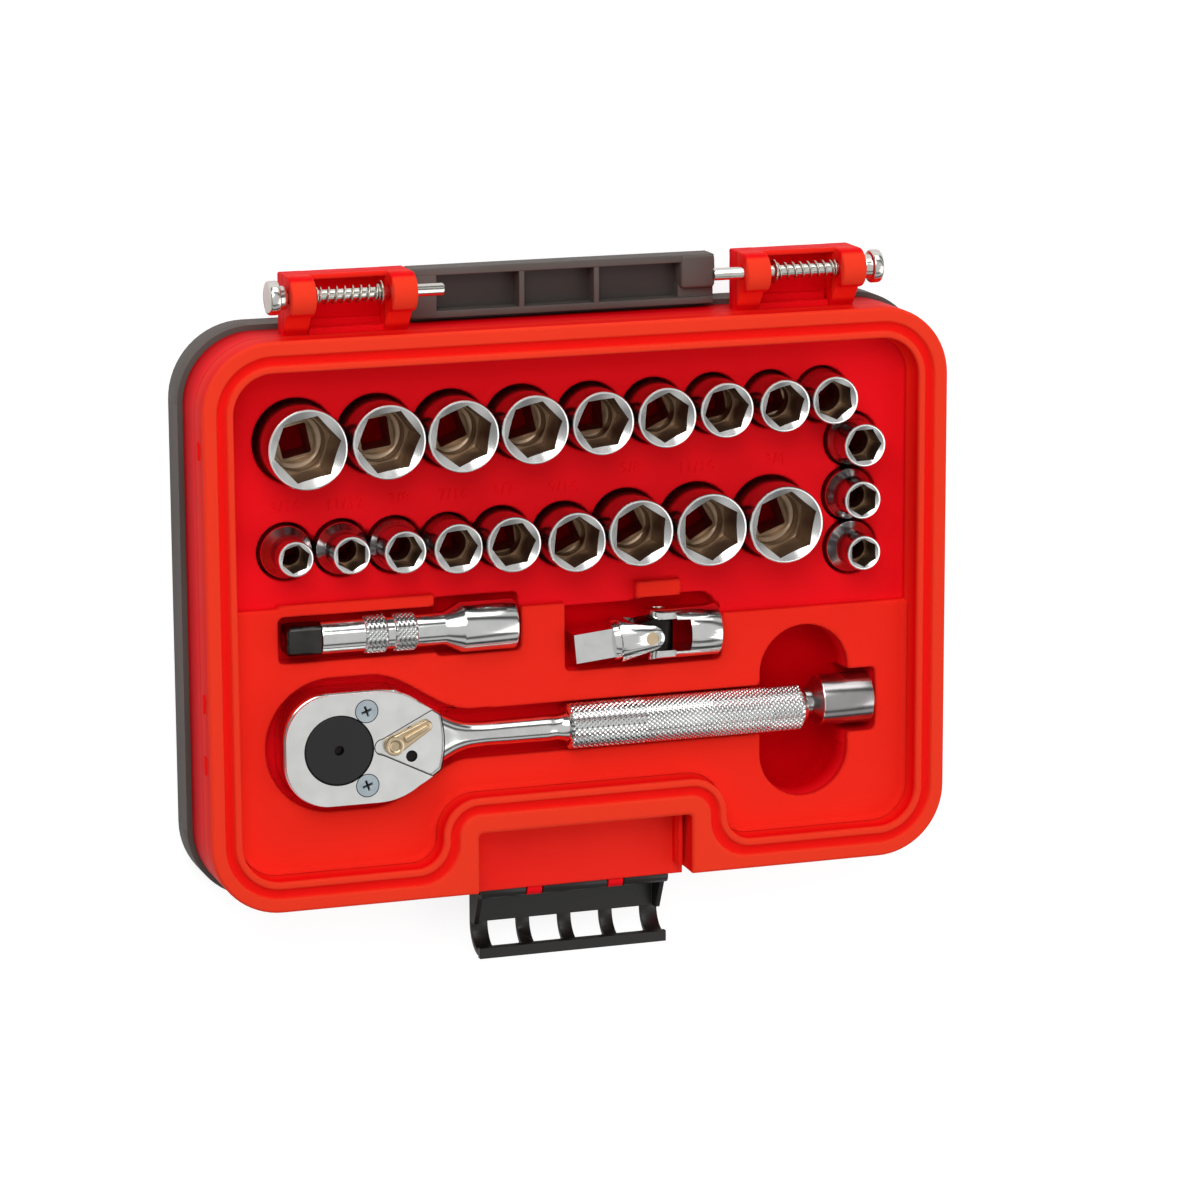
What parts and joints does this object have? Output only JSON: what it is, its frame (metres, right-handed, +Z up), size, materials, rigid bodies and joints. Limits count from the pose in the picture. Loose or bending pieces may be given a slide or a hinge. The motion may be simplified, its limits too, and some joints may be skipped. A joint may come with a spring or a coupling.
{
  "type": "socket wrench set in case",
  "caption": "Red moulded tray case with its grey lid stowed beneath, holding hex sockets, a reversible ratchet, an extension bar and a universal joint.",
  "frame": {"origin": "middle of the face that the stowed lid stands on, on the middle line of the case", "axes": "+X runs along the hinge to the right, +Y points to the hinge side, +Z points up out of the open tray"},
  "size_m": [0.253, 0.2299, 0.043],
  "materials": {
    "red_plastic": "satin",
    "grey_plastic": "matte",
    "black_plastic": "satin",
    "chrome": "polished",
    "satin_chrome": "satin",
    "zinc": "zinc plated",
    "tinted_zinc": "satin",
    "dark_steel": "blackened",
    "spring_steel": "drawn wire"
  },
  "bodies": {
    "lid": {"lid_shell": "grey_plastic", "lid_barrel": "grey_plastic"},
    "base": {"tray_rim_left": "red_plastic", "tray_rim_right": "red_plastic", "rear_field_left": "red_plastic", "rear_field_right": "red_plastic", "middle_field_left": "red_plastic", "middle_field_right": "red_plastic", "tool_field_left": "red_plastic", "tool_field_right": "red_plastic", "left_bracket": "red_plastic", "right_bracket": "red_plastic", "latch_pin": "spring_steel", "left_pin_spring": "spring_steel", "right_pin_spring": "spring_steel"},
    "latch": {"latch": "black_plastic"},
    "left_pin": {"left_hinge_pin": "chrome", "left_pin_clip": "chrome"},
    "right_pin": {"right_hinge_pin": "chrome", "right_pin_clip": "chrome"},
    "socket_19mm_body": {"socket_19mm": "chrome"},
    "socket_18mm_body": {"socket_18mm": "chrome"},
    "socket_17mm_body": {"socket_17mm": "chrome"},
    "socket_16mm_body": {"socket_16mm": "chrome"},
    "socket_15mm_body": {"socket_15mm": "chrome"},
    "socket_14mm_body": {"socket_14mm": "chrome"},
    "socket_13mm_body": {"socket_13mm": "chrome"},
    "socket_12mm_body": {"socket_12mm": "chrome"},
    "socket_11mm_body": {"socket_11mm": "chrome"},
    "socket_10mm_body": {"socket_10mm": "chrome"},
    "socket_9mm_body": {"socket_9mm": "chrome"},
    "socket_8mm_body": {"socket_8mm": "chrome"},
    "socket_5_16in_body": {"socket_5_16in": "chrome"},
    "socket_11_32in_body": {"socket_11_32in": "chrome"},
    "socket_3_8in_body": {"socket_3_8in": "chrome"},
    "socket_7_16in_body": {"socket_7_16in": "chrome"},
    "socket_1_2in_body": {"socket_1_2in": "chrome"},
    "socket_9_16in_body": {"socket_9_16in": "chrome"},
    "socket_5_8in_body": {"socket_5_8in": "chrome"},
    "socket_11_16in_body": {"socket_11_16in": "chrome"},
    "socket_3_4in_body": {"socket_3_4in": "chrome"},
    "socket_1_4in_body": {"socket_1_4in": "chrome"},
    "ratchet": {"ratchet_body": "chrome", "ratchet_cover": "satin_chrome", "cover_screws": "zinc", "pawl_plunger": "chrome", "pawl_spring": "spring_steel"},
    "ratchet_drive": {"drive_gear": "chrome", "thumb_disc": "black_plastic"},
    "ratchet_detent": {"ratchet_ball": "chrome"},
    "ratchet_pawl": {"pawl": "dark_steel"},
    "ratchet_lever": {"reversing_lever": "tinted_zinc"},
    "extension": {"extension_bar": "chrome"},
    "extension_detent": {"extension_ball": "chrome"},
    "universal_joint": {"joint_socket_yoke": "chrome", "joint_socket_pin": "tinted_zinc"},
    "joint_block": {"joint_centre_block": "dark_steel"},
    "joint_drive": {"joint_drive_yoke": "chrome", "joint_drive_pin": "tinted_zinc"},
    "joint_detent": {"joint_ball": "chrome"}
  },
  "joints": [
    {"name": "base_lift", "type": "slide", "parent": "lid", "child": "base", "axis": [0, 0, 1], "range_m": [0, 0.045]},
    {"name": "latch_swing", "type": "hinge", "parent": "base", "child": "latch", "pos_m": [0, -0.0954, 0.024], "axis": [-1, 0, 0], "range_deg": [0, 90]},
    {"name": "left_pin_pull", "type": "slide", "parent": "base", "child": "left_pin", "axis": [-1, 0, 0], "range_m": [0, 0.01], "stiffness_N_per_m": 300, "deforming": ["left_pin_spring"]},
    {"name": "right_pin_pull", "type": "slide", "parent": "base", "child": "right_pin", "axis": [1, 0, 0], "range_m": [0, 0.01], "stiffness_N_per_m": 300, "deforming": ["right_pin_spring"]},
    {"name": "socket_19mm_lift", "type": "slide", "parent": "base", "child": "socket_19mm_body", "axis": [0, 0, 1], "range_m": [0, 0.035]},
    {"name": "socket_18mm_lift", "type": "slide", "parent": "base", "child": "socket_18mm_body", "axis": [0, 0, 1], "range_m": [0, 0.035]},
    {"name": "socket_17mm_lift", "type": "slide", "parent": "base", "child": "socket_17mm_body", "axis": [0, 0, 1], "range_m": [0, 0.035]},
    {"name": "socket_16mm_lift", "type": "slide", "parent": "base", "child": "socket_16mm_body", "axis": [0, 0, 1], "range_m": [0, 0.035]},
    {"name": "socket_15mm_lift", "type": "slide", "parent": "base", "child": "socket_15mm_body", "axis": [0, 0, 1], "range_m": [0, 0.035]},
    {"name": "socket_14mm_lift", "type": "slide", "parent": "base", "child": "socket_14mm_body", "axis": [0, 0, 1], "range_m": [0, 0.035]},
    {"name": "socket_13mm_lift", "type": "slide", "parent": "base", "child": "socket_13mm_body", "axis": [0, 0, 1], "range_m": [0, 0.035]},
    {"name": "socket_12mm_lift", "type": "slide", "parent": "base", "child": "socket_12mm_body", "axis": [0, 0, 1], "range_m": [0, 0.035]},
    {"name": "socket_11mm_lift", "type": "slide", "parent": "base", "child": "socket_11mm_body", "axis": [0, 0, 1], "range_m": [0, 0.035]},
    {"name": "socket_10mm_lift", "type": "slide", "parent": "base", "child": "socket_10mm_body", "axis": [0, 0, 1], "range_m": [0, 0.035]},
    {"name": "socket_9mm_lift", "type": "slide", "parent": "base", "child": "socket_9mm_body", "axis": [0, 0, 1], "range_m": [0, 0.035]},
    {"name": "socket_8mm_lift", "type": "slide", "parent": "base", "child": "socket_8mm_body", "axis": [0, 0, 1], "range_m": [0, 0.035]},
    {"name": "socket_5_16in_lift", "type": "slide", "parent": "base", "child": "socket_5_16in_body", "axis": [0, 0, 1], "range_m": [0, 0.035]},
    {"name": "socket_11_32in_lift", "type": "slide", "parent": "base", "child": "socket_11_32in_body", "axis": [0, 0, 1], "range_m": [0, 0.035]},
    {"name": "socket_3_8in_lift", "type": "slide", "parent": "base", "child": "socket_3_8in_body", "axis": [0, 0, 1], "range_m": [0, 0.035]},
    {"name": "socket_7_16in_lift", "type": "slide", "parent": "base", "child": "socket_7_16in_body", "axis": [0, 0, 1], "range_m": [0, 0.035]},
    {"name": "socket_1_2in_lift", "type": "slide", "parent": "base", "child": "socket_1_2in_body", "axis": [0, 0, 1], "range_m": [0, 0.035]},
    {"name": "socket_9_16in_lift", "type": "slide", "parent": "base", "child": "socket_9_16in_body", "axis": [0, 0, 1], "range_m": [0, 0.035]},
    {"name": "socket_5_8in_lift", "type": "slide", "parent": "base", "child": "socket_5_8in_body", "axis": [0, 0, 1], "range_m": [0, 0.035]},
    {"name": "socket_11_16in_lift", "type": "slide", "parent": "base", "child": "socket_11_16in_body", "axis": [0, 0, 1], "range_m": [0, 0.035]},
    {"name": "socket_3_4in_lift", "type": "slide", "parent": "base", "child": "socket_3_4in_body", "axis": [0, 0, 1], "range_m": [0, 0.035]},
    {"name": "socket_1_4in_lift", "type": "slide", "parent": "base", "child": "socket_1_4in_body", "axis": [0, 0, 1], "range_m": [0, 0.035]},
    {"name": "ratchet_lift", "type": "slide", "parent": "base", "child": "ratchet", "axis": [0, 0, 1], "range_m": [0, 0.04]},
    {"name": "drive_spin", "type": "hinge", "parent": "ratchet", "child": "ratchet_drive", "pos_m": [-0.0827, -0.0404, 0.025], "axis": [0, 0, 1], "continuous": true},
    {"name": "ratchet_ball_press", "type": "slide", "parent": "ratchet_drive", "child": "ratchet_detent", "axis": [0, 1, 0], "range_m": [0, 0.0007], "stiffness_N_per_m": 600},
    {"name": "lever_swing", "type": "hinge", "parent": "ratchet", "child": "ratchet_lever", "pos_m": [-0.0645, -0.0404, 0.038], "axis": [0, 0, 1], "range_deg": [-56, 0]},
    {"name": "pawl_swing", "type": "hinge", "parent": "ratchet", "child": "ratchet_pawl", "pos_m": [-0.0645, -0.0404, 0.032], "axis": [0, 0, 1], "range_deg": [-11.2, 0]},
    {"name": "extension_lift", "type": "slide", "parent": "base", "child": "extension", "axis": [0, 0, 1], "range_m": [0, 0.03]},
    {"name": "extension_ball_press", "type": "slide", "parent": "extension", "child": "extension_detent", "axis": [0, 1, 0], "range_m": [0, 0.0007], "stiffness_N_per_m": 600},
    {"name": "joint_lift", "type": "slide", "parent": "base", "child": "universal_joint", "axis": [0, 0, 1], "range_m": [0, 0.03]},
    {"name": "joint_fold", "type": "hinge", "parent": "universal_joint", "child": "joint_block", "pos_m": [0.0279, -0.0121, 0.03], "axis": [0, 1, 0], "range_deg": [0, 70]},
    {"name": "joint_turn", "type": "hinge", "parent": "joint_block", "child": "joint_drive", "pos_m": [0.0229, -0.0121, 0.03], "axis": [0, 0, 1], "range_deg": [-16, 6]},
    {"name": "joint_ball_press", "type": "slide", "parent": "joint_drive", "child": "joint_detent", "axis": [-0.0941, 0.9956, 0], "range_m": [0, 0.0007], "stiffness_N_per_m": 600}
  ],
  "couplings": [
    {"joint": "pawl_swing", "follows": "lever_swing", "ratio": 0.2}
  ]
}
